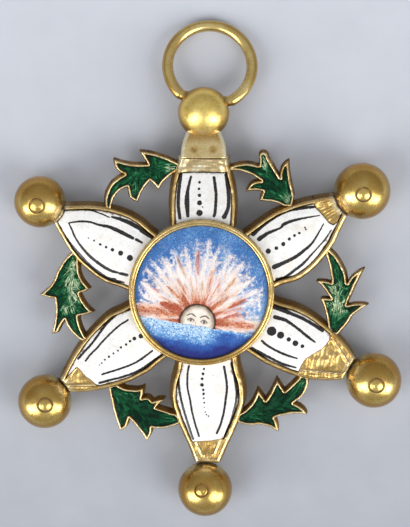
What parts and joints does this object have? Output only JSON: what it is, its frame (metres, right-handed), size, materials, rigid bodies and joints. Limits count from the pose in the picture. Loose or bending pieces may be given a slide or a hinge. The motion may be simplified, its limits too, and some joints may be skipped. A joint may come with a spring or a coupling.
{
  "type": "order neck badge",
  "caption": "Six-armed gilt and enamel neck badge with leaves between the arms, a painted round medallion, ball tips and a swinging suspension ring.",
  "frame": {"origin": "middle of the outline, on the surface that the badge lies on", "axes": "+Z out of the front face, +Y towards the suspension ring, +X to the right in the front view"},
  "size_m": [0.0544, 0.0698, 0.0079],
  "materials": {
    "gilt_metal": "worn matt gilding with brown tarnish in the corners",
    "gilt_ball": "satin gilding with fine scratches",
    "gilt_ring": "satin gilding",
    "white_enamel": "glossy white enamel with painted dark lines and dots",
    "green_enamel": "glossy dark green translucent enamel over engraved metal",
    "painted_enamel": "glossy painted enamel: a rising sun over the sea"
  },
  "bodies": {
    "badge": {"star_frame": "gilt_metal", "medallion_setting": "gilt_metal", "medallion_plaque": "painted_enamel", "arm_enamel_top": "white_enamel", "arm_enamel_upper_right": "white_enamel", "arm_enamel_lower_right": "white_enamel", "arm_enamel_bottom": "white_enamel", "arm_enamel_lower_left": "white_enamel", "arm_enamel_upper_left": "white_enamel", "leaf_enamel_north_east": "green_enamel", "leaf_enamel_east": "green_enamel", "leaf_enamel_south_east": "green_enamel", "leaf_enamel_south_west": "green_enamel", "leaf_enamel_west": "green_enamel", "leaf_enamel_north_west": "green_enamel", "ball_upper_right": "gilt_ball", "ball_lower_right": "gilt_ball", "ball_bottom": "gilt_ball", "ball_lower_left": "gilt_ball", "ball_upper_left": "gilt_ball", "suspension_ball": "gilt_ball"},
    "ring": {"suspension_ring": "gilt_ring"}
  },
  "joints": [
    {"name": "ring_swing", "type": "hinge", "parent": "badge", "child": "ring", "pos_m": [-0.00039, 0.02397, 0.0036], "axis": [0.9914, -0.1305, 0], "range_deg": [-149, 178]}
  ]
}
